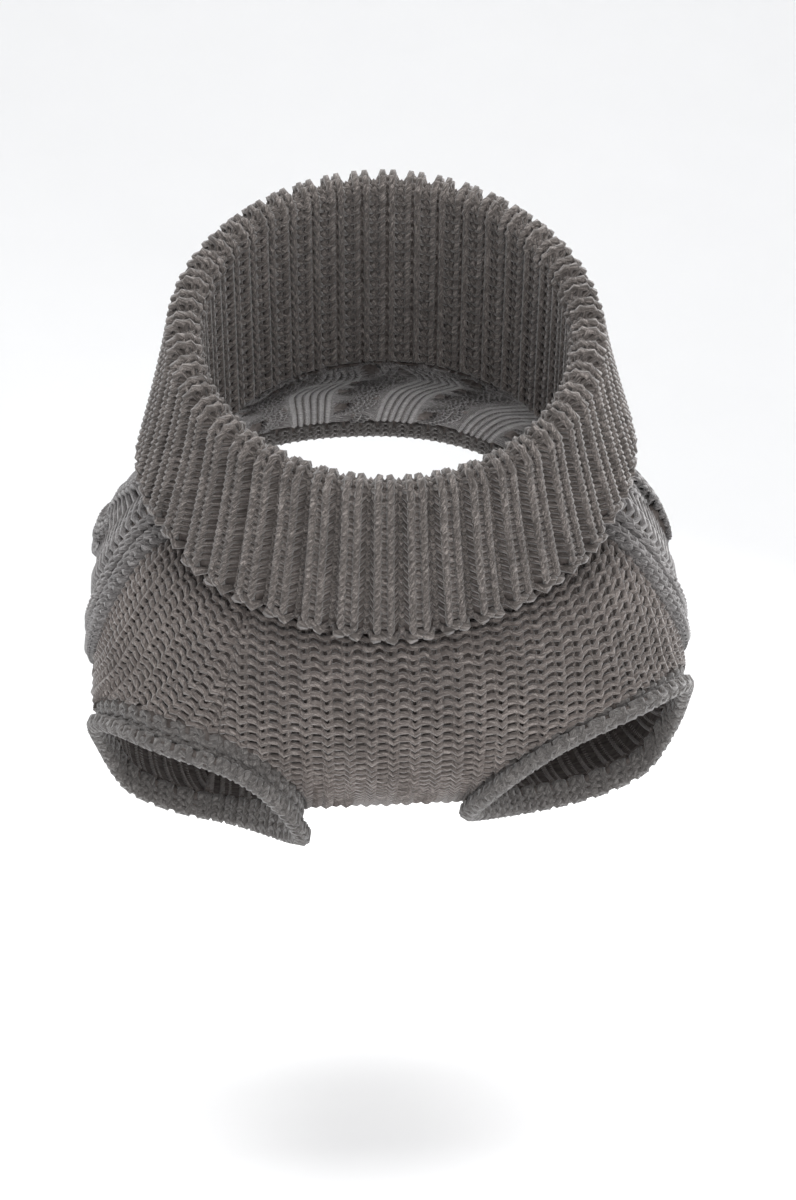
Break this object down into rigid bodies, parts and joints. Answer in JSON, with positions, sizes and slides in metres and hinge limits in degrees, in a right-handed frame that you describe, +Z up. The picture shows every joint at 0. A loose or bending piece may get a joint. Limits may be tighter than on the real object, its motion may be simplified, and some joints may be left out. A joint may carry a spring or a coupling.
{
  "type": "dog sweater",
  "caption": "Knitted dog sweater in its worn, hollow shape, with a deep folded rib collar, a cable back panel, rolled leg openings and an open hem.",
  "frame": {"origin": "inside of the back panel at the withers, where the wearer's back holds the garment up", "axes": "+Z up, -Y the way the chest faces, +Y towards the hem, +X to the right of someone looking at the chest"},
  "size_m": [0.2169, 0.3806, 0.2308],
  "materials": {
    "rib_knit": "matt marl wool, chunky rib",
    "cable_knit": "matt marl wool, cables on a purl ground",
    "purl_knit": "matt marl wool, purl side out",
    "rolled_edge": "matt marl wool, rolled plain knit"
  },
  "bodies": {
    "root": {"collar": "rib_knit", "back_panel": "cable_knit", "side_left": "purl_knit", "chest_panel": "purl_knit", "leg_edge_left": "rolled_edge", "leg_edge_right": "rolled_edge", "hem_edge": "rolled_edge"}
  },
  "joints": []
}
